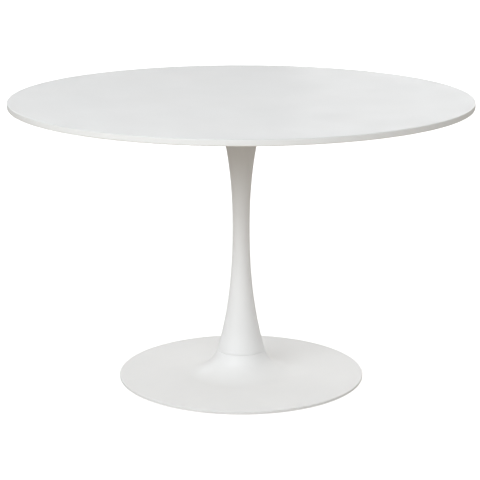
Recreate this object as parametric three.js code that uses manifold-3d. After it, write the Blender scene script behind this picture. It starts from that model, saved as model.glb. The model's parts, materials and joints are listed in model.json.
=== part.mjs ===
// Round pedestal table: a lacquered round board on a spun steel trumpet column and a wide disc base.
// Millimetres, +Z up. The origin is on the floor, under the middle of the table.

import * as THREE from 'three';
import { mergeVertices } from 'three/addons/utils/BufferGeometryUtils.js';
import Module from 'manifold-3d';

// Overall sizes
const TABLE_HEIGHT = 750;
const TOP_RADIUS = 600;
const TOP_THICKNESS = 16;
const BASE_RADIUS = 325;
const SHEET = 2; // wall of the spun steel shells
const GAP = 0.3; // paint and fitting gap between pieces that touch

// Tabletop edge
const UPPER_EDGE_ROUNDING = 2;
const LOWER_EDGE_ROUNDING = 3;

// Base: rim, flat disc and the cove that climbs to the crown under the column
const RIM_BOTTOM = 2; // the rim clears the floor by the glides
const DISC_TOP = 8.5;
const RIM_ROUNDING = 2;
const CROWN_HEIGHT = 71;
const CROWN_RADIUS = 64;
const CROWN_ROUNDING = 1;
const COVE_START_SLOPE = 75; // degrees from the floor, at the crown

// Column: a waist with a trumpet flare above and below
const WAIST_HEIGHT = 404;
const WAIST_RADIUS = 22.5;
const MOUTH_RADIUS = 66;
const FOOT_RADIUS = 63;
const FLARE_POWER = 2.25;

// Pressed steel mounting plate with a pan that hangs in the column's mouth
const PLATE_RADIUS = 180;
const PLATE_THICKNESS = 3;
const PAN_DEPTH = 24;
const PAN_MOUTH_RADIUS = 62.5;
const PAN_FLOOR_RADIUS = 55;

// M12 tie rod, its nuts and washer, and the discs that it clamps
const ROD_RADIUS = 6;
const ROD_CLEARANCE_RADIUS = 6.5;
const ROD_CHAMFER = 1;
const ROD_STICK_OUT = 4.5;
const NUT_ACROSS_FLATS = 18;
const NUT_HEIGHT = 10;
const WASHER_RADIUS = 18;
const WASHER_THICKNESS = 3;
const SPIGOT_RADIUS = 58;
const SPIGOT_THICKNESS = 6;
const CROWN_PLATE_RADIUS = 58;
const CROWN_PLATE_THICKNESS = 6;
const STAND_PIPE_RADIUS = 30;
const STAND_PIPE_WALL = 3;

// Ballast plate and glides
const BALLAST_RADIUS = 321;
const BALLAST_THICKNESS = 4;
const GLIDE_COUNT = 6;
const GLIDE_RADIUS = 14;
const GLIDE_CIRCLE_RADIUS = 292;
const GLIDE_CHAMFER = 0.5;

// M6 screws and the threaded inserts in the board
const SCREW_COUNT = 8;
const SCREW_CIRCLE_RADIUS = 155;
const SCREW_RADIUS = 3;
const SCREW_HOLE_RADIUS = 3.5;
const SCREW_LENGTH = 16;
const SCREW_POINT = 0.8;
const HEAD_RADIUS = 6;
const HEAD_HEIGHT = 3.6;
const HEAD_RIM = 0.6; // height of the upright rim under the dome
const DOME_SHOULDER_RADIUS = 5.1; // halfway down the dome
const DOME_FLAT_RADIUS = 3.3; // at its bottom, round the socket
const SOCKET_ACROSS_FLATS = 4;
const SOCKET_DEPTH = 2;
const INSERT_RADIUS = 5;
const INSERT_BORE_RADIUS = 3.3;
const INSERT_LENGTH = 12.5;
const POCKET_RADIUS = 5.3;
const POCKET_DEPTH = 13.5;

// Sides of the round pieces, and steps of the rounded edges
const TOP_SIDES = 80;
const BASE_SIDES = 64;
const PLATE_SIDES = 48;
const DISC_SIDES = 36;
const COLUMN_SIDES = 32;
const WASHER_SIDES = 24;
const ROD_SIDES = 20;
const HOLE_SIDES = 16;
const SCREW_SIDES = 12;
const EDGE_STEPS = 3;
const COVE_STEPS = 6;
const COLUMN_STEPS = 14;
const OVERSHOOT = 1; // how far a cutter runs past the face it opens

// Heights that follow from the sizes above
const boardBottom = TABLE_HEIGHT - TOP_THICKNESS;
const plateTop = boardBottom - GAP;
const plateBottom = plateTop - PLATE_THICKNESS;
const panFloorBottom = plateBottom - PAN_DEPTH;
const panFloorTop = panFloorBottom + PLATE_THICKNESS;
const columnTop = plateBottom - GAP;
const columnBottom = CROWN_HEIGHT + GAP;
const discUnderside = DISC_TOP - SHEET;
const crownUnderside = CROWN_HEIGHT - SHEET;
const ballastTop = discUnderside - GAP;
const ballastBottom = ballastTop - BALLAST_THICKNESS;
const crownPlateTop = crownUnderside - GAP;
const crownPlateBottom = crownPlateTop - CROWN_PLATE_THICKNESS;
const washerBottom = panFloorTop + GAP;
const washerTop = washerBottom + WASHER_THICKNESS;
const upperNutBottom = washerTop + GAP;
const lowerNutBottom = ballastTop + GAP;
const rodTop = upperNutBottom + NUT_HEIGHT + ROD_STICK_OUT;
const rodBottom = ballastBottom + GAP;

const wasm = await Module();
wasm.setup();

const board = new THREE.MeshStandardMaterial({ color: 0xf1f1ef, roughness: 0.38, metalness: 0 });
const coatedSteel = new THREE.MeshStandardMaterial({ color: 0xf0efed, roughness: 0.42, metalness: 0 });
const blackSteel = new THREE.MeshStandardMaterial({ color: 0x2b2c2e, roughness: 0.6, metalness: 0.2 });
const zincSteel = new THREE.MeshStandardMaterial({ color: 0xb9bcc0, roughness: 0.35, metalness: 1 });
const zincAlloy = new THREE.MeshStandardMaterial({ color: 0xc9b98a, roughness: 0.4, metalness: 1 });
const glideRubber = new THREE.MeshStandardMaterial({ color: 0x3a3a3b, roughness: 0.85, metalness: 0 });

const table = new THREE.Group();

function addPart(name, geometry, material, x = 0, y = 0) {
  const mesh = new THREE.Mesh(geometry, material.clone());
  mesh.name = name;
  mesh.position.set(x, y, 0);
  table.add(mesh);
}

// Calls place(x, y, number) for each of count places round the table's axis.
function ring(count, radius, place) {
  for (let i = 0; i < count; i += 1) {
    const angle = 2 * Math.PI * (i + 0.5) / count;
    place(radius * Math.cos(angle), radius * Math.sin(angle), i + 1);
  }
}

// Points [radius, height] along an arc, with angles in degrees from the radial direction.
function arc(centreRadius, centreHeight, size, from, to, steps) {
  const points = [];
  for (let i = 0; i <= steps; i += 1) {
    const angle = THREE.MathUtils.degToRad(from + (to - from) * i / steps);
    points.push([centreRadius + size * Math.cos(angle), centreHeight + size * Math.sin(angle)]);
  }
  return points;
}

// Turns a profile of [radius, height] about the Z axis. Seen with the axis on the left, the profile
// runs anticlockwise: out along the underside, up, and back along the top.
function turned(profile, segments) {
  const points = profile.map(([radius, height]) => new THREE.Vector2(radius, height));
  return new THREE.LatheGeometry(points, segments).rotateX(Math.PI / 2);
}

// A flat ring or a straight tube.
function tube(innerRadius, outerRadius, bottom, top, segments) {
  return turned([
    [innerRadius, bottom],
    [outerRadius, bottom],
    [outerRadius, top],
    [innerRadius, top],
    [innerRadius, bottom],
  ], segments);
}

function hexagon(acrossFlats) {
  const corner = acrossFlats / Math.sqrt(3);
  const corners = [];
  for (let i = 0; i < 6; i += 1) {
    const angle = Math.PI * i / 3;
    corners.push(new THREE.Vector2(corner * Math.cos(angle), corner * Math.sin(angle)));
  }
  return new THREE.Shape(corners);
}

function prism(shape, bottom, height) {
  const geometry = new THREE.ExtrudeGeometry(shape, { depth: height, bevelEnabled: false });
  return geometry.translate(0, 0, bottom);
}

function nut(bottom) {
  const shape = hexagon(NUT_ACROSS_FLATS);
  const bore = new THREE.Path();
  bore.absarc(0, 0, ROD_RADIUS + GAP, 0, 2 * Math.PI, true);
  shape.holes.push(bore);
  return prism(shape, bottom, NUT_HEIGHT);
}

function toSolid(geometry) {
  const bare = geometry.clone();
  bare.deleteAttribute('normal');
  bare.deleteAttribute('uv');
  const merged = mergeVertices(bare, 1e-4);
  return new wasm.Manifold(new wasm.Mesh({
    numProp: 3,
    vertProperties: Float32Array.from(merged.attributes.position.array),
    triVerts: Uint32Array.from(merged.index.array),
  }));
}

function cut(geometry, cutters) {
  let solid = toSolid(geometry);
  for (const cutter of cutters) {
    solid = solid.subtract(toSolid(cutter));
  }
  const result = solid.getMesh();
  const cutGeometry = new THREE.BufferGeometry();
  cutGeometry.setAttribute('position', new THREE.BufferAttribute(result.vertProperties, 3));
  cutGeometry.setIndex(new THREE.BufferAttribute(result.triVerts, 1));
  cutGeometry.computeVertexNormals();
  return cutGeometry;
}

// One round cutter for each screw, from bottom to top.
function screwHoles(radius, bottom, top) {
  const holes = [];
  ring(SCREW_COUNT, SCREW_CIRCLE_RADIUS, (x, y) => {
    const plug = turned([[0, bottom], [radius, bottom], [radius, top], [0, top]], HOLE_SIDES);
    holes.push(plug.translate(x, y, 0));
  });
  return holes;
}

function tabletop() {
  const lowerCentre = boardBottom + LOWER_EDGE_ROUNDING;
  const upperCentre = TABLE_HEIGHT - UPPER_EDGE_ROUNDING;
  const disc = turned([
    [0, boardBottom],
    ...arc(TOP_RADIUS - LOWER_EDGE_ROUNDING, lowerCentre, LOWER_EDGE_ROUNDING, -90, 0, EDGE_STEPS),
    ...arc(TOP_RADIUS - UPPER_EDGE_ROUNDING, upperCentre, UPPER_EDGE_ROUNDING, 0, 90, EDGE_STEPS),
    [0, TABLE_HEIGHT],
  ], TOP_SIDES);
  return cut(disc, screwHoles(POCKET_RADIUS, boardBottom - OVERSHOOT, boardBottom + POCKET_DEPTH));
}

function mountingPlate() {
  const slope = (PAN_MOUTH_RADIUS - PAN_FLOOR_RADIUS) / PAN_DEPTH;
  const innerFloorRadius = PAN_FLOOR_RADIUS - PLATE_THICKNESS + slope * PLATE_THICKNESS;
  const innerMouthRadius = PAN_MOUTH_RADIUS - PLATE_THICKNESS + slope * PLATE_THICKNESS;
  const pressing = turned([
    [ROD_CLEARANCE_RADIUS, panFloorBottom],
    [PAN_FLOOR_RADIUS, panFloorBottom],
    [PAN_MOUTH_RADIUS, plateBottom],
    [PLATE_RADIUS, plateBottom],
    [PLATE_RADIUS, plateTop],
    [innerMouthRadius, plateTop],
    [innerFloorRadius, panFloorTop],
    [ROD_CLEARANCE_RADIUS, panFloorTop],
    [ROD_CLEARANCE_RADIUS, panFloorBottom],
  ], PLATE_SIDES);
  return cut(pressing, screwHoles(SCREW_HOLE_RADIUS, plateBottom - OVERSHOOT, plateTop + OVERSHOOT));
}

function columnRadius(height) {
  const below = height < WAIST_HEIGHT;
  const span = below ? WAIST_HEIGHT - columnBottom : columnTop - WAIST_HEIGHT;
  const flare = (below ? FOOT_RADIUS : MOUTH_RADIUS) - WAIST_RADIUS;
  return WAIST_RADIUS + flare * Math.pow(Math.abs(height - WAIST_HEIGHT) / span, FLARE_POWER);
}

function column() {
  const outside = [];
  for (let i = 0; i <= COLUMN_STEPS; i += 1) {
    const height = columnBottom + (columnTop - columnBottom) * i / COLUMN_STEPS;
    outside.push([columnRadius(height), height]);
  }
  const inside = outside.map(([radius, height]) => [radius - SHEET, height]).reverse();
  return turned([...outside, ...inside, outside[0]], COLUMN_SIDES);
}

// One spun sheet: a hole for the tie rod, the crown, the cove, the flat disc and the turned-down rim.
function baseShell() {
  const slope = THREE.MathUtils.degToRad(COVE_START_SLOPE);
  const coveTop = CROWN_HEIGHT - CROWN_ROUNDING;
  const coveRadius = (coveTop - DISC_TOP) / (1 - Math.cos(slope));
  const coveEnd = CROWN_RADIUS + coveRadius * Math.sin(slope);
  const coveCentre = DISC_TOP + coveRadius;
  const outerAngle = 270 - COVE_START_SLOPE;
  const innerSlope = Math.acos((coveCentre - crownUnderside) / (coveRadius + SHEET));
  const innerAngle = 270 - THREE.MathUtils.radToDeg(innerSlope);
  const crownCorner = CROWN_RADIUS - CROWN_ROUNDING;
  const rimCorner = BASE_RADIUS - RIM_ROUNDING;
  return turned([
    [ROD_CLEARANCE_RADIUS, crownUnderside],
    ...arc(coveEnd, coveCentre, coveRadius + SHEET, innerAngle, 270, COVE_STEPS),
    [BASE_RADIUS - SHEET, discUnderside],
    [BASE_RADIUS - SHEET, RIM_BOTTOM],
    [BASE_RADIUS, RIM_BOTTOM],
    ...arc(rimCorner, DISC_TOP - RIM_ROUNDING, RIM_ROUNDING, 0, 90, EDGE_STEPS),
    ...arc(coveEnd, coveCentre, coveRadius, 270, outerAngle, COVE_STEPS),
    [crownCorner, CROWN_HEIGHT],
    [ROD_CLEARANCE_RADIUS, CROWN_HEIGHT],
    [ROD_CLEARANCE_RADIUS, crownUnderside],
  ], BASE_SIDES);
}

function tieRod() {
  return turned([
    [0, rodBottom],
    [ROD_RADIUS - ROD_CHAMFER, rodBottom],
    [ROD_RADIUS, rodBottom + ROD_CHAMFER],
    [ROD_RADIUS, rodTop - ROD_CHAMFER],
    [ROD_RADIUS - ROD_CHAMFER, rodTop],
    [0, rodTop],
  ], ROD_SIDES);
}

// The disc under the crown that spreads the load of the column.
function crownPlate() {
  return tube(ROD_CLEARANCE_RADIUS, CROWN_PLATE_RADIUS, crownPlateBottom, crownPlateTop, DISC_SIDES);
}

// Button head downwards, shank up through the plate into the insert.
function topScrew() {
  const headTop = plateBottom - GAP;
  const headBottom = headTop - HEAD_HEIGHT;
  const rimHeight = headTop - HEAD_RIM;
  const shankTop = headTop + SCREW_LENGTH;
  const body = turned([
    [0, headBottom],
    [DOME_FLAT_RADIUS, headBottom],
    [DOME_SHOULDER_RADIUS, (headBottom + rimHeight) / 2],
    [HEAD_RADIUS, rimHeight],
    [HEAD_RADIUS, headTop],
    [SCREW_RADIUS, headTop],
    [SCREW_RADIUS, shankTop - SCREW_POINT],
    [SCREW_RADIUS - SCREW_POINT, shankTop],
    [0, shankTop],
  ], SCREW_SIDES);
  const socket = prism(hexagon(SOCKET_ACROSS_FLATS), headBottom - OVERSHOOT, SOCKET_DEPTH + OVERSHOOT);
  return cut(body, [socket]);
}

function glide() {
  const top = ballastBottom - GAP;
  return turned([
    [0, 0],
    [GLIDE_RADIUS - GLIDE_CHAMFER, 0],
    [GLIDE_RADIUS, GLIDE_CHAMFER],
    [GLIDE_RADIUS, top],
    [0, top],
  ], ROD_SIDES);
}

// The board, and the inserts and screws that hold it
addPart('tabletop', tabletop(), board);
ring(SCREW_COUNT, SCREW_CIRCLE_RADIUS, (x, y, number) => {
  const bottom = boardBottom + GAP;
  const sleeve = tube(INSERT_BORE_RADIUS, INSERT_RADIUS, bottom, bottom + INSERT_LENGTH, SCREW_SIDES);
  addPart(`threaded_insert_${number}`, sleeve, zincAlloy, x, y);
  addPart(`top_screw_${number}`, topScrew(), zincSteel, x, y);
});

// The mounting plate and the column
addPart('mounting_plate', mountingPlate(), blackSteel);
addPart('column', column(), coatedSteel);

// The tie rod and what it clamps, from the top down
addPart('upper_nut', nut(upperNutBottom), zincSteel);
const washer = tube(ROD_CLEARANCE_RADIUS, WASHER_RADIUS, washerBottom, washerTop, WASHER_SIDES);
addPart('upper_washer', washer, zincSteel);
addPart('tie_rod', tieRod(), zincSteel);
const spigotTop = columnBottom + SPIGOT_THICKNESS;
const spigot = tube(ROD_CLEARANCE_RADIUS, SPIGOT_RADIUS, columnBottom, spigotTop, DISC_SIDES);
addPart('foot_spigot', spigot, blackSteel);
addPart('crown_plate', crownPlate(), blackSteel);
const pipeBore = STAND_PIPE_RADIUS - STAND_PIPE_WALL;
const standPipe = tube(pipeBore, STAND_PIPE_RADIUS, ballastTop + GAP, crownPlateBottom - GAP, DISC_SIDES);
addPart('stand_pipe', standPipe, blackSteel);
addPart('lower_nut', nut(lowerNutBottom), zincSteel);

// The base
addPart('base_shell', baseShell(), coatedSteel);
const ballast = tube(ROD_CLEARANCE_RADIUS, BALLAST_RADIUS, ballastBottom, ballastTop, BASE_SIDES);
addPart('ballast_plate', ballast, blackSteel);
ring(GLIDE_COUNT, GLIDE_CIRCLE_RADIUS, (x, y, number) => {
  addPart(`glide_${number}`, glide(), glideRubber, x, y);
});

export default table;
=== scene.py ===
"""The looks of a round pedestal table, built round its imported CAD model. Metres, +Z up."""

import json
import math

import bmesh
import bpy
from mathutils import Matrix, Vector

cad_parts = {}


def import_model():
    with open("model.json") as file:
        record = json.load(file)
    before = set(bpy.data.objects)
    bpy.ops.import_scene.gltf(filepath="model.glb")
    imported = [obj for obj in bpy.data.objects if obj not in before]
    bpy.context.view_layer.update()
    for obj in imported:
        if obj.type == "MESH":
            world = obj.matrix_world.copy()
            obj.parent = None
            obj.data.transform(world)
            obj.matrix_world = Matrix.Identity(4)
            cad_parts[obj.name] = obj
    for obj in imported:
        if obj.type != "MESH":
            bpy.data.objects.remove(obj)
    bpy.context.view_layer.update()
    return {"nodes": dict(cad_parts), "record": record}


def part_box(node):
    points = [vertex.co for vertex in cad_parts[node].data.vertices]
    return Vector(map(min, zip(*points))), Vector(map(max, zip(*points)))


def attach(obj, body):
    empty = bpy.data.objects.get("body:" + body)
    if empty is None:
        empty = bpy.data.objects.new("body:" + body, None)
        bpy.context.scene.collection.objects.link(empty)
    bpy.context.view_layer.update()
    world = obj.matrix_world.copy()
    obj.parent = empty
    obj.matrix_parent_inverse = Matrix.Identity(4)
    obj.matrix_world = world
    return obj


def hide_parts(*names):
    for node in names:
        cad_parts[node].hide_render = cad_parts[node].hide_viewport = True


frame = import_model()
BODY = "root"
MM = 0.001
SLOT_OF = {row["node"]: row["material_slot"] for row in frame["record"]["subparts"]}


# ---------------------------------------------------------------- materials

class Nodes:
    """A node tree, with short calls to add and link its nodes."""

    def __init__(self, tree):
        self.tree = tree

    def add(self, kind, **settings):
        node = self.tree.nodes.new(kind)
        for key, value in settings.items():
            setattr(node, key, value)
        return node

    def link(self, source, target):
        self.tree.links.new(source, target)

    def put(self, value, socket):
        """Links a socket, or sets a number or a colour."""
        if isinstance(value, (int, float)):
            socket.default_value = value
        elif isinstance(value, tuple):
            socket.default_value = (*value, 1.0)
        else:
            self.link(value, socket)

    def math(self, operation, a, b):
        node = self.add("ShaderNodeMath", operation=operation)
        self.put(a, node.inputs[0])
        self.put(b, node.inputs[1])
        return node.outputs["Value"]

    def remap(self, source, low, high, out_low, out_high, smooth=False):
        node = self.add("ShaderNodeMapRange", clamp=True)
        node.interpolation_type = "SMOOTHSTEP" if smooth else "LINEAR"
        self.put(source, node.inputs["Value"])
        node.inputs["From Min"].default_value = low
        node.inputs["From Max"].default_value = high
        node.inputs["To Min"].default_value = out_low
        node.inputs["To Max"].default_value = out_high
        return node.outputs["Result"]

    def mix(self, factor, a, b):
        """A mix of two colours, each a tuple or a socket."""
        node = self.add("ShaderNodeMix", data_type="RGBA")
        colours = [socket for socket in node.inputs if socket.type == "RGBA"]
        self.put(factor, node.inputs["Factor"])
        self.put(a, colours[0])
        self.put(b, colours[1])
        return next(socket for socket in node.outputs if socket.type == "RGBA")


class Surface(Nodes):
    """The node tree of a new material, with noise in the object's own metres."""

    def __init__(self, name):
        self.material = bpy.data.materials.new(name)
        self.material.use_nodes = True
        super().__init__(self.material.node_tree)
        self.shader = self.tree.nodes["Principled BSDF"]
        self.position = self.add("ShaderNodeTexCoord").outputs["Object"]

    def noise(self, grain, detail=2.0, roughness=0.5, stretch=(1.0, 1.0, 1.0)):
        """Noise with a grain in metres. stretch is how much longer the grain is along each axis."""
        mapping = self.add("ShaderNodeMapping")
        mapping.inputs["Scale"].default_value = [1.0 / (grain * length) for length in stretch]
        self.link(self.position, mapping.inputs["Vector"])
        node = self.add("ShaderNodeTexNoise")
        node.inputs["Scale"].default_value = 1.0
        node.inputs["Detail"].default_value = detail
        node.inputs["Roughness"].default_value = roughness
        self.link(mapping.outputs["Vector"], node.inputs["Vector"])
        return node.outputs["Fac"]

    def drift(self, grain, a, b, detail=3.0):
        """A slow wander from one colour to another."""
        return self.mix(self.remap(self.noise(grain, detail), 0.3, 0.7, 0.0, 1.0), a, b)

    def worn_edge(self, radius):
        """1 where the surface turns over an edge, broken up by noise, and 0 on open faces."""
        bevel = self.add("ShaderNodeBevel", samples=6)
        bevel.inputs["Radius"].default_value = radius
        dot = self.add("ShaderNodeVectorMath", operation="DOT_PRODUCT")
        self.link(bevel.outputs["Normal"], dot.inputs[0])
        self.link(self.add("ShaderNodeNewGeometry").outputs["Normal"], dot.inputs[1])
        edge = self.remap(dot.outputs["Value"], 0.995, 0.9, 0.0, 1.0)
        return self.math("MULTIPLY", edge, self.remap(self.noise(0.008, 4.0, 0.6), 0.45, 0.65, 0.0, 1.0))

    def scuffs(self, grain, length):
        """Fine hairlines in three directions, mostly absent."""
        marks = 0.0
        for stretch in ((length, 1.0, 1.0), (1.0, length, 1.0), (length, 0.7 * length, 1.0)):
            line = self.remap(self.noise(grain, 1.0, 0.5, stretch), 0.68, 0.74, 0.0, 1.0)
            marks = self.math("MAXIMUM", marks, line)
        return self.math("MULTIPLY", marks, self.remap(self.noise(0.12, 2.0), 0.5, 0.62, 0.0, 1.0))

    def finish(self, colour, roughness, height, depth, **constants):
        """Joins up the shader. depth is how deep the height's bumps are, in metres."""
        self.put(colour, self.shader.inputs["Base Color"])
        self.put(roughness, self.shader.inputs["Roughness"])
        bump = self.add("ShaderNodeBump")
        bump.inputs["Distance"].default_value = depth
        self.link(height, bump.inputs["Height"])
        self.link(bump.outputs["Normal"], self.shader.inputs["Normal"])
        for socket, value in constants.items():
            self.shader.inputs[socket.replace("_", " ")].default_value = value
        return self.material


def white_lacquer():
    """Sprayed satin lacquer: a faint orange peel, slow colour drift, dulled patches, hairlines and
    a rubbed arris."""
    s = Surface("white_lacquer")
    clean = s.drift(0.35, (0.862, 0.872, 0.866), (0.882, 0.884, 0.874))
    specks = s.remap(s.noise(0.0024, 1.0), 0.74, 0.8, 0.0, 0.3)
    speckled = s.mix(specks, clean, (0.74, 0.735, 0.71))
    rubbed = s.math("MULTIPLY", s.worn_edge(1.5 * MM), 0.15)
    colour = s.mix(rubbed, speckled, (0.76, 0.75, 0.72))
    gloss = s.remap(s.noise(0.11, 5.0, 0.6), 0.35, 0.7, 0.3, 0.4)
    roughness = s.math("ADD", gloss, s.math("MULTIPLY", s.scuffs(1.2 * MM, 40.0), 0.12))
    return s.finish(colour, roughness, s.noise(0.003), 0.03 * MM, Coat_Weight=0.15, Coat_Roughness=0.2)


def white_powder_coat():
    """Baked powder coat: an orange peel of a millimetre or two, slow drift, and thin edges."""
    s = Surface("white_powder_coat")
    clean = s.drift(0.2, (0.862, 0.866, 0.865), (0.884, 0.887, 0.885))
    specks = s.remap(s.noise(0.0017, 1.0), 0.75, 0.82, 0.0, 0.3)
    speckled = s.mix(specks, clean, (0.72, 0.71, 0.69))
    rubbed = s.math("MULTIPLY", s.worn_edge(1.0 * MM), 0.15)
    colour = s.mix(rubbed, speckled, (0.7, 0.69, 0.67))
    gloss = s.remap(s.noise(0.07, 4.0, 0.6), 0.3, 0.7, 0.43, 0.53)
    roughness = s.math("ADD", gloss, s.math("MULTIPLY", s.scuffs(1.0 * MM, 25.0), 0.15))
    return s.finish(colour, roughness, s.noise(0.0019, 3.0), 0.06 * MM)


def black_steel():
    """Thin matt black coat on hot-rolled plate, rubbed grey along its edges."""
    s = Surface("black_steel")
    coat = s.drift(0.055, (0.024, 0.024, 0.026), (0.038, 0.038, 0.041), 5.0)
    colour = s.mix(s.worn_edge(1.2 * MM), coat, (0.2, 0.2, 0.205))
    roughness = s.remap(s.noise(0.017, 4.0), 0.3, 0.7, 0.52, 0.72)
    return s.finish(colour, roughness, s.noise(0.0011, 3.0), 0.08 * MM)


def zinc_steel():
    """Bright zinc plate: a crystalline drift from grey to pale blue, with fine drawn lines."""
    s = Surface("zinc_steel")
    plate = s.drift(0.006, (0.56, 0.585, 0.62), (0.68, 0.69, 0.7))
    colour = s.mix(s.worn_edge(0.5 * MM), plate, (0.74, 0.74, 0.74))
    roughness = s.remap(s.noise(0.0025, 3.0), 0.3, 0.7, 0.26, 0.42)
    lines = s.noise(0.00025, 2.0, 0.5, (8.0, 8.0, 1.0))
    return s.finish(colour, roughness, lines, 0.02 * MM, Metallic=1.0)


def zinc_alloy():
    """Yellow-passivated die casting, with the matt grain of the mould."""
    s = Surface("zinc_alloy")
    skin = s.drift(0.0045, (0.66, 0.57, 0.36), (0.78, 0.69, 0.48))
    colour = s.mix(s.worn_edge(0.4 * MM), skin, (0.8, 0.77, 0.68))
    roughness = s.remap(s.noise(0.002, 3.0), 0.3, 0.7, 0.32, 0.48)
    return s.finish(colour, roughness, s.noise(0.0007, 2.0), 0.04 * MM, Metallic=1.0)


def glide_rubber():
    """Dark grey rubber, finely grained and dusty."""
    s = Surface("glide_rubber")
    skin = s.drift(0.011, (0.04, 0.04, 0.042), (0.062, 0.061, 0.06), 4.0)
    dust = s.remap(s.noise(0.0012, 3.0), 0.55, 0.8, 0.0, 0.5)
    colour = s.mix(dust, skin, (0.12, 0.115, 0.105))
    roughness = s.remap(s.noise(0.004, 3.0), 0.3, 0.7, 0.74, 0.9)
    return s.finish(colour, roughness, s.noise(0.0006, 3.0), 0.08 * MM)


MATERIALS = {
    "white_lacquer": white_lacquer(),
    "white_powder_coat": white_powder_coat(),
    "black_steel": black_steel(),
    "zinc_steel": zinc_steel(),
    "zinc_alloy": zinc_alloy(),
    "glide_rubber": glide_rubber(),
}

for node, cad_object in frame["nodes"].items():
    cad_object.data.materials.clear()
    cad_object.data.materials.append(MATERIALS[SLOT_OF[node]])


# ---------------------------------------------------------------- mesh tools

def arc(centre_r, centre_z, size, start, end, steps):
    """Points (radius, height) along an arc, with angles in degrees from the radial direction."""
    points = []
    for i in range(steps + 1):
        angle = math.radians(start + (end - start) * i / steps)
        points.append((centre_r + size * math.cos(angle), centre_z + size * math.sin(angle)))
    return points


def rounded(corners, sizes, steps=4):
    """A closed outline of (radius, height) with each corner rounded by its size; 0 keeps it sharp."""
    points = []
    for i, corner in enumerate(corners):
        here = Vector(corner)
        if sizes[i] <= 0:
            points.append(tuple(here))
            continue
        before = (Vector(corners[i - 1]) - here).normalized()
        after = (Vector(corners[(i + 1) % len(corners)]) - here).normalized()
        half = before.angle(after) / 2
        centre = here + (before + after).normalized() * (sizes[i] / math.sin(half))
        start = here + before * (sizes[i] / math.tan(half)) - centre
        end = here + after * (sizes[i] / math.tan(half)) - centre
        turn = math.atan2(start.cross(end), start.dot(end))
        for k in range(steps + 1):
            points.append(tuple(centre + Matrix.Rotation(turn * k / steps, 2) @ start))
    return points


def circle(sides, radius_at, height_at):
    """A ring of points whose radius and height may depend on the angle."""
    points = []
    for i in range(sides):
        angle = 2 * math.pi * i / sides
        radius = radius_at(angle)
        points.append((radius * math.cos(angle), radius * math.sin(angle), height_at(angle)))
    return points


def flat_ring(sides, radius, height):
    """A plain ring of points, or the one point on the axis where the radius is 0."""
    nearly_zero = 1e-7
    if radius < nearly_zero:
        return [(0.0, 0.0, height)]
    return circle(sides, lambda angle: radius, lambda angle: height)


def lofted(name, rings, closed=False):
    """A mesh through rings of points, each of one length or a single point. closed joins the last
    ring to the first."""
    mesh = bpy.data.meshes.new(name)
    bm = bmesh.new()
    loops = [[bm.verts.new(point) for point in ring] for ring in rings]
    sides = max(len(loop) for loop in loops)
    pairs = list(zip(loops, loops[1:]))
    if closed:
        pairs.append((loops[-1], loops[0]))
    for low, high in pairs:
        for i in range(sides):
            j = (i + 1) % sides
            corners = (low[i % len(low)], low[j % len(low)], high[j % len(high)], high[i % len(high)])
            bm.faces.new(dict.fromkeys(corners))
    bmesh.ops.recalc_face_normals(bm, faces=bm.faces)
    bm.to_mesh(mesh)
    bm.free()
    return mesh


def turned(name, profile, sides, closed=False):
    """A mesh turned about Z from a profile of (radius, height). It starts and ends on the axis, or is
    closed on itself."""
    return lofted(name, [flat_ring(sides, radius, height) for radius, height in profile], closed)


def thread(sides, radius, depth, pitch, bottom, top):
    """The rings of an outside thread, which fades out at both ends."""
    steps_per_turn = 6
    count = round((top - bottom) / pitch * steps_per_turn)
    rings = []
    for k in range(count + 1):
        height = bottom + (top - bottom) * k / count
        fade = min(1.0, (height - bottom) / pitch, (top - height) / pitch)

        def radius_at(angle):
            ridge = abs(2 * ((height / pitch - angle / (2 * math.pi)) % 1.0) - 1)
            return radius - depth + depth * ridge * fade

        rings.append(circle(sides, radius_at, lambda angle: height))
    return rings


def hexagon(across_flats):
    """The radius of a hexagon at an angle, with a corner at angle 0."""
    def radius_at(angle):
        return across_flats / 2 / math.cos(angle % (math.pi / 3) - math.pi / 6)
    return radius_at


def add_piece(name, mesh, node, place=(0.0, 0.0, 0.0), sharp=35.0):
    """Makes a piece of a finished mesh that stands for a CAD node and takes its finish."""
    mesh.materials.append(MATERIALS[SLOT_OF[node]])
    mesh.shade_smooth()
    mesh.set_sharp_from_angle(angle=math.radians(sharp))
    piece = bpy.data.objects.new(name, mesh)
    piece.location = place
    bpy.context.scene.collection.objects.link(piece)
    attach(piece, BODY)
    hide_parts(node)


def drilled(mesh, places, radius, bottom, top):
    """Cuts a round hole at each place (x, y), from bottom to top."""
    work = bpy.data.objects.new("work", mesh)
    bpy.context.scene.collection.objects.link(work)
    plug_sides = 32
    plug = turned("plug", [(0.0, bottom), (radius, bottom), (radius, top), (0.0, top)], plug_sides)
    plugs = bmesh.new()
    for x, y in places:
        plug.transform(Matrix.Translation((x, y, 0.0)))
        plugs.from_mesh(plug)
        plug.transform(Matrix.Translation((-x, -y, 0.0)))
    plugs.to_mesh(plug)
    plugs.free()
    drill = bpy.data.objects.new("drill", plug)
    bpy.context.scene.collection.objects.link(drill)
    modifier = work.modifiers.new("holes", "BOOLEAN")
    modifier.operation = "DIFFERENCE"
    modifier.solver = "EXACT"
    modifier.object = drill
    bpy.context.view_layer.update()
    result = bpy.data.meshes.new_from_object(work.evaluated_get(bpy.context.evaluated_depsgraph_get()))
    result.name = mesh.name + "_drilled"
    for scrap in (work, drill):
        bpy.data.objects.remove(scrap)
    return result


# ---------------------------------------------------------------- sizes

def span(node):
    """(outer radius, bottom, top) of a node, measured about its own middle."""
    low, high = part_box(node)
    return (high.x - low.x) / 2, low.z, high.z


def middle(node):
    """Where a node's own upright axis meets the floor."""
    low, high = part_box(node)
    return ((low.x + high.x) / 2, (low.y + high.y) / 2, 0.0)


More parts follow.
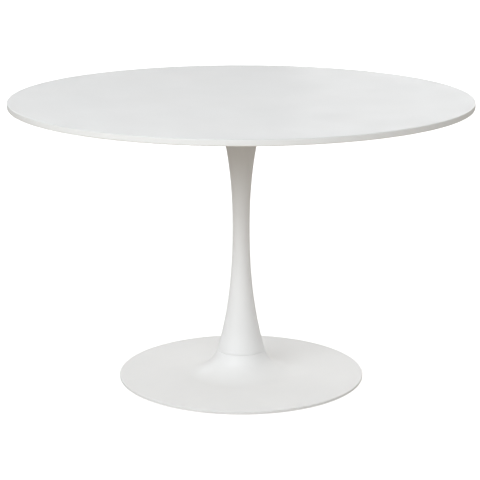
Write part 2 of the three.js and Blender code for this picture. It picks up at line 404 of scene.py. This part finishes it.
SHEET = 2.0 * MM
ROD_HOLE_RADIUS = 6.5 * MM
OVERSHOOT = 1 * MM  # how far a drill runs past the face it opens
SCREW_NODES = [f"top_screw_{i}" for i in range(1, 9)]
INSERT_NODES = [f"threaded_insert_{i}" for i in range(1, 9)]
GLIDE_NODES = [f"glide_{i}" for i in range(1, 7)]
SCREW_PLACES = [middle(node)[:2] for node in SCREW_NODES]


# ---------------------------------------------------------------- board, column and base

def tabletop():
    """The board, with rounded edges and a pocket for each threaded insert."""
    radius, bottom, top = span("tabletop")
    upper, lower, flat = 2 * MM, 3 * MM, 1 * MM
    edge_steps, sides = 8, 384
    profile = [(0.0, bottom), (radius - lower - flat, bottom)]
    profile += arc(radius - lower, bottom + lower, lower, -90, 0, edge_steps)
    profile += arc(radius - upper, top - upper, upper, 0, 90, edge_steps)
    profile += [(radius - upper - flat, top), (0.0, top)]
    board = turned("tabletop_board", profile, sides)
    pocket_radius, pocket_depth = 5.3 * MM, 13.5 * MM
    board = drilled(board, SCREW_PLACES, pocket_radius, bottom - OVERSHOOT, bottom + pocket_depth)
    add_piece("tabletop_board", board, "tabletop")


def column():
    """The spun column: a waist, and a power-law flare above and below it."""
    mouth, bottom, top = span("column")
    waist_height, waist, foot, power = 404 * MM, 22.5 * MM, 63 * MM, 2.25
    edge, steps, rim_steps, sides = 0.3 * MM, 72, 2, 160

    def radius_at(height):
        if height < waist_height:
            return waist + (foot - waist) * ((waist_height - height) / (waist_height - bottom)) ** power
        return waist + (mouth - waist) * ((height - waist_height) / (top - waist_height)) ** power

    outside = []
    for i in range(steps + 1):
        height = bottom + edge + (top - bottom - 2 * edge) * i / steps
        outside.append((radius_at(height), height))
    inside = [(radius - SHEET, height) for radius, height in reversed(outside)]
    top_rim = arc(outside[-1][0] - edge, top - edge, edge, 30, 90, rim_steps)
    top_rim += arc(inside[0][0] + edge, top - edge, edge, 90, 150, rim_steps)
    bottom_rim = arc(inside[-1][0] + edge, bottom + edge, edge, 210, 270, rim_steps)
    bottom_rim += arc(outside[0][0] - edge, bottom + edge, edge, 270, 330, rim_steps)
    profile = outside + top_rim + inside + bottom_rim
    add_piece("column_shell", turned("column_shell", profile, sides, closed=True), "column")


def base():
    """The spun base: crown, cove, flat disc and turned-down rim, one sheet all the way."""
    radius, rim_bottom, crown = span("base_shell")
    disc, crown_radius, crown_edge, rim_edge = 8.5 * MM, 64 * MM, 0.5 * MM, 2 * MM
    inner_edge, lip, flat, slope = 1 * MM, 0.4 * MM, 1 * MM, 75.0
    cove_steps, rim_steps, small_steps, sides = 40, 8, 4, 320
    cove = (crown - crown_edge - disc) / (1 - math.cos(math.radians(slope)))
    cove_end = crown_radius + cove * math.sin(math.radians(slope))
    inner = radius - SHEET
    inner_slope = math.degrees(math.acos((disc + cove - crown + SHEET) / (cove + SHEET)))
    profile = [(ROD_HOLE_RADIUS, crown - SHEET)]
    profile += arc(cove_end, disc + cove, cove + SHEET, 270 - inner_slope, 270, cove_steps)
    profile += [(cove_end + flat, disc - SHEET), (inner - inner_edge - flat, disc - SHEET)]
    profile += arc(inner - inner_edge, disc - SHEET - inner_edge, inner_edge, 90, 0, small_steps)
    profile += [(inner, rim_bottom + lip), (inner + lip, rim_bottom)]
    profile += [(radius - lip, rim_bottom), (radius, rim_bottom + lip)]
    profile += arc(radius - rim_edge, disc - rim_edge, rim_edge, 0, 90, rim_steps)
    profile += [(radius - rim_edge - flat, disc), (cove_end + flat, disc)]
    profile += arc(cove_end, disc + cove, cove, 270, 270 - slope, cove_steps)
    crown_corner = crown_radius - crown_edge
    profile += arc(crown_corner, crown - crown_edge, crown_edge, 90 - slope, 90, small_steps)
    profile += [(crown_corner - flat, crown), (ROD_HOLE_RADIUS, crown)]
    add_piece("base_cover", turned("base_cover", profile, sides, closed=True), "base_shell")


# ---------------------------------------------------------------- under the board

def mounting_plate():
    """The pressed plate, with bent corners round its pan and a hole for each screw."""
    radius, pan_bottom, top = span("mounting_plate")
    thickness, pan_floor, pan_mouth = 3 * MM, 55 * MM, 62.5 * MM
    outer_bend, inner_bend, edge = 5 * MM, 2 * MM, 0.6 * MM
    bend_steps, sides = 6, 192
    bottom, floor_top = top - thickness, pan_bottom + thickness
    slope = (pan_mouth - pan_floor) / (bottom - pan_bottom)
    inset = thickness * (1 - slope)
    corners = [
        (ROD_HOLE_RADIUS, pan_bottom), (pan_floor, pan_bottom), (pan_mouth, bottom),
        (radius, bottom), (radius, top),
        (pan_mouth - inset, top), (pan_floor - inset, floor_top), (ROD_HOLE_RADIUS, floor_top),
    ]
    sizes = [edge, outer_bend, inner_bend, edge, edge, outer_bend, inner_bend, edge]
    plate = turned("column_plate", rounded(corners, sizes, bend_steps), sides, closed=True)
    hole_radius = 3.5 * MM
    plate = drilled(plate, SCREW_PLACES, hole_radius, bottom - OVERSHOOT, top + OVERSHOOT)
    add_piece("column_plate", plate, "mounting_plate")


def screw(node, name):
    """A button-head screw, head down, with a hexagon socket and a rolled thread."""
    radius, bottom, top = span(node)
    sides, shank, pitch, depth, point = 48, 3 * MM, 1 * MM, 0.45 * MM, 0.8 * MM
    head, rim, dome_flat, socket_depth, socket = 3.6 * MM, 0.6 * MM, 3.3 * MM, 2 * MM, 4 * MM
    dome_steps, socket_chamfer, socket_flare = 8, 0.15 * MM, 0.4 * MM
    rings = [[(0.0, 0.0, bottom + socket_depth)]]
    rings.append(circle(sides, hexagon(socket), lambda angle: bottom + socket_depth))
    rings.append(circle(sides, hexagon(socket), lambda angle: bottom + socket_chamfer))
    rings.append(circle(sides, hexagon(socket + socket_flare), lambda angle: bottom))
    for k in range(dome_steps + 1):
        angle = math.pi / 2 * k / dome_steps
        across = dome_flat + (radius - dome_flat) * math.sin(angle)
        rings.append(flat_ring(sides, across, bottom + (head - rim) * (1 - math.cos(angle))))
    rings.append(flat_ring(sides, radius, bottom + head))
    rings.append(flat_ring(sides, shank, bottom + head))
    rings += thread(sides, shank, depth, pitch, bottom + head + pitch, top - point)
    rings.append(flat_ring(sides, shank - point, top))
    rings.append([(0.0, 0.0, top)])
    add_piece(name, lofted(name, rings), node, middle(node))


def insert(node, name):
    """A threaded insert: a coarse outside thread, a plain collar and a chamfered bore."""
    radius, bottom, top = span(node)
    sides, bore, chamfer, collar, pitch, depth = 36, 3.3 * MM, 0.5 * MM, 1.5 * MM, 2.5 * MM, 0.9 * MM
    rings = [flat_ring(sides, bore + chamfer, bottom)]
    rings.append(flat_ring(sides, radius - chamfer / 2, bottom))
    rings.append(flat_ring(sides, radius, bottom + chamfer / 2))
    rings.append(flat_ring(sides, radius, bottom + collar))
    rings += thread(sides, radius, depth, pitch, bottom + collar, top - chamfer)
    rings.append(flat_ring(sides, bore + chamfer, top))
    rings.append(flat_ring(sides, bore, top - chamfer))
    rings.append(flat_ring(sides, bore, bottom + chamfer))
    add_piece(name, lofted(name, rings, closed=True), node, middle(node))


# ---------------------------------------------------------------- inside the column and the base

def nut(node, name):
    """A hexagon nut, its corners turned off at 30 degrees and its bore countersunk."""
    _, bottom, top = span(node)
    sides, flats, bore, sink = 72, 18 * MM, 6.3 * MM, 0.8 * MM
    inset, chamfer_angle = 0.2 * MM, 30
    face = flats / 2 - inset
    outline = hexagon(flats)

    def turned_off(angle):
        return (outline(angle) - face) * math.tan(math.radians(chamfer_angle))

    rings = [flat_ring(sides, bore + sink, bottom), flat_ring(sides, face, bottom)]
    rings.append(circle(sides, outline, lambda angle: bottom + turned_off(angle)))
    rings.append(circle(sides, outline, lambda angle: top - turned_off(angle)))
    rings += [flat_ring(sides, face, top), flat_ring(sides, bore + sink, top)]
    rings += [flat_ring(sides, bore, top - sink), flat_ring(sides, bore, bottom + sink)]
    add_piece(name, lofted(name, rings, closed=True), node, middle(node), sharp=20.0)


def tie_rod():
    """The rod, with a rolled thread at each end and a plain shank between."""
    radius, bottom, top = span("tie_rod")
    sides, chamfer, pitch, depth, threaded = 36, 1 * MM, 1.75 * MM, 0.95 * MM, 50 * MM
    rings = [[(0.0, 0.0, bottom)], flat_ring(sides, radius - chamfer, bottom)]
    rings += thread(sides, radius, depth, pitch, bottom + chamfer / 2, bottom + threaded)
    rings.append(flat_ring(sides, radius, bottom + threaded + chamfer))
    rings.append(flat_ring(sides, radius, top - threaded - chamfer))
    rings += thread(sides, radius, depth, pitch, top - threaded, top - chamfer / 2)
    rings += [flat_ring(sides, radius - chamfer, top), [(0.0, 0.0, top)]]
    add_piece("column_tie_rod", lofted("column_tie_rod", rings), "tie_rod")


def flat_disc(node, name, bore, edge, sides):
    """A flat ring or a straight tube with eased edges."""
    radius, bottom, top = span(node)
    corners = [(bore, bottom), (radius, bottom), (radius, top), (bore, top)]
    add_piece(name, turned(name, rounded(corners, [edge] * 4), sides, closed=True), node)


def glide(node, name):
    """A rubber pad with a rounded foot."""
    radius, bottom, top = span(node)
    foot_edge, top_edge, steps, sides = 0.8 * MM, 0.3 * MM, 5, 64
    corners = [(0.0, bottom), (radius, bottom), (radius, top), (0.0, top)]
    profile = rounded(corners, [0, foot_edge, top_edge, 0], steps)
    add_piece(name, turned(name, profile, sides), node, middle(node))


tabletop()
column()
base()
mounting_plate()
for number, node in enumerate(SCREW_NODES, 1):
    screw(node, f"button_screw_{number}")
for number, node in enumerate(INSERT_NODES, 1):
    insert(node, f"board_insert_{number}")
nut("upper_nut", "rod_nut_upper")
nut("lower_nut", "rod_nut_lower")
tie_rod()
flat_disc("upper_washer", "rod_washer", bore=ROD_HOLE_RADIUS, edge=0.5 * MM, sides=72)
flat_disc("foot_spigot", "column_spigot", bore=ROD_HOLE_RADIUS, edge=0.6 * MM, sides=128)
flat_disc("crown_plate", "base_crown_plate", bore=ROD_HOLE_RADIUS, edge=0.6 * MM, sides=128)
flat_disc("stand_pipe", "base_stand_pipe", bore=27 * MM, edge=0.4 * MM, sides=96)
flat_disc("ballast_plate", "base_ballast", bore=ROD_HOLE_RADIUS, edge=0.6 * MM, sides=256)
for number, node in enumerate(GLIDE_NODES, 1):
    glide(node, f"rubber_glide_{number}")


# ---------------------------------------------------------------- stage, light and camera

def stage():
    """A pale floor that curves up into a wall far off. It glows, and more so far from the table."""
    inner_ring, floor_radius, cove, wall_top = 4.0, 18.0, 5.0, 14.0
    cove_steps, sides = 16, 96
    near, far, near_glow, far_glow = 1.2, 7.0, 0.55, 0.95
    profile = [(0.0, 0.0), (inner_ring, 0.0)]
    profile += arc(floor_radius, cove, cove, 270, 360, cove_steps)
    profile += [(floor_radius + cove, wall_top)]
    mesh = turned("studio_floor", profile, sides)
    mesh.shade_smooth()
    floor = bpy.data.objects.new("studio_floor", mesh)
    bpy.context.scene.collection.objects.link(floor)
    s = Surface("studio_floor")
    away = s.add("ShaderNodeVectorMath", operation="LENGTH")
    s.link(s.position, away.inputs[0])
    glow = s.remap(away.outputs["Value"], near, far, near_glow, far_glow, smooth=True)
    s.link(glow, s.shader.inputs["Emission Strength"])
    s.shader.inputs["Emission Color"].default_value = (1.0, 1.0, 1.0, 1.0)
    paint = s.drift(0.5, (0.93, 0.93, 0.93), (0.94, 0.94, 0.94))
    s.finish(paint, s.remap(s.noise(0.2), 0.3, 0.7, 0.85, 0.95), s.noise(0.01), 0.05 * MM)
    mesh.materials.append(s.material)
    # The light that comes up from the floor is the world's lower half, so the floor bounces none.
    floor.visible_diffuse = False
    floor.visible_glossy = False
    floor.visible_shadow = False


def softbox(name, azimuth, elevation, distance, size, power, colour=(1.0, 1.0, 1.0)):
    """A soft light that looks at the table's middle, and is white unless a colour is given. Azimuth 0
    is behind the table, and 90 is to its right. Distances are in metres, and power is in watts."""
    target = Vector((0.0, 0.0, 0.4))
    around, up = math.radians(azimuth), math.radians(elevation)
    way = Vector((math.sin(around) * math.cos(up), math.cos(around) * math.cos(up), math.sin(up)))
    data = bpy.data.lights.new(name, "AREA")
    data.shape = "RECTANGLE"
    data.size, data.size_y = size
    data.energy = power
    data.color = colour
    light = bpy.data.objects.new(name, data)
    light.location = target + way * distance
    light.rotation_euler = (-way).to_track_quat("-Z", "Y").to_euler()
    light.visible_camera = False
    bpy.context.scene.collection.objects.link(light)


def world():
    """A dim studio: brighter just above the horizon than overhead, and a warm glow from the floor."""
    data = bpy.data.worlds.new("studio")
    bpy.context.scene.world = data
    data.use_nodes = True
    n = Nodes(data.node_tree)
    background = data.node_tree.nodes["Background"]
    split = n.add("ShaderNodeSeparateXYZ")
    n.link(n.add("ShaderNodeTexCoord").outputs["Generated"], split.inputs["Vector"])
    up = split.outputs["Z"]
    horizon, overhead, underneath, far_floor = 0.6, 0.05, 0.75, 0.12
    white, warm = (1.0, 1.0, 1.0), (1.0, 0.9, 0.77)
    sky = n.remap(up, 0.0, 1.0, horizon, overhead)
    ground = n.remap(up, -1.0, 0.0, underneath, far_floor)
    above = n.math("GREATER_THAN", up, 0.0)
    below = n.math("SUBTRACT", 1.0, above)
    strength = n.math("ADD", n.math("MULTIPLY", above, sky), n.math("MULTIPLY", below, ground))
    n.link(strength, background.inputs["Strength"])
    n.link(n.mix(above, warm, white), background.inputs["Color"])


def lights():
    """The studio round the table, two key lights in front of it, and the rest behind and beside it."""
    world()
    cool = (0.975, 1.0, 1.02)
    softbox("key", 192, 29, 5.0, (6.0, 2.0), 80.0, cool)
    softbox("key_left", 215, 27, 5.0, (4.0, 2.0), 92.0, cool)
    softbox("back", 0, 22, 7.5, (12.0, 3.2), 111.0)
    softbox("back_left", 315, 25, 6.0, (4.0, 3.0), 48.0)
    softbox("back_right", 45, 25, 6.0, (4.0, 3.0), 63.0)
    softbox("back_low", 30, 6, 7.0, (7.0, 1.2), 26.0)
    softbox("right", 90, 26, 5.0, (3.5, 2.2), 23.0)


def camera():
    """A long lens in front of the table and above it, which looks a little down and has no roll."""
    distance, aside, height, down = 4.261, -0.003, 1.428, math.radians(13.94)
    lens, sensor = 124.9, 36.0
    data = bpy.data.cameras.new("camera")
    data.lens = lens
    data.sensor_width = sensor
    seer = bpy.data.objects.new("camera", data)
    seer.rotation_mode = "XYZ"
    seer.location = (aside, -distance, height)
    seer.rotation_euler = (math.pi / 2 - down, 0.0, 0.0)
    bpy.context.scene.collection.objects.link(seer)
    bpy.context.scene.camera = seer


stage()
lights()
camera()
bpy.context.scene.view_settings.view_transform = "Standard"
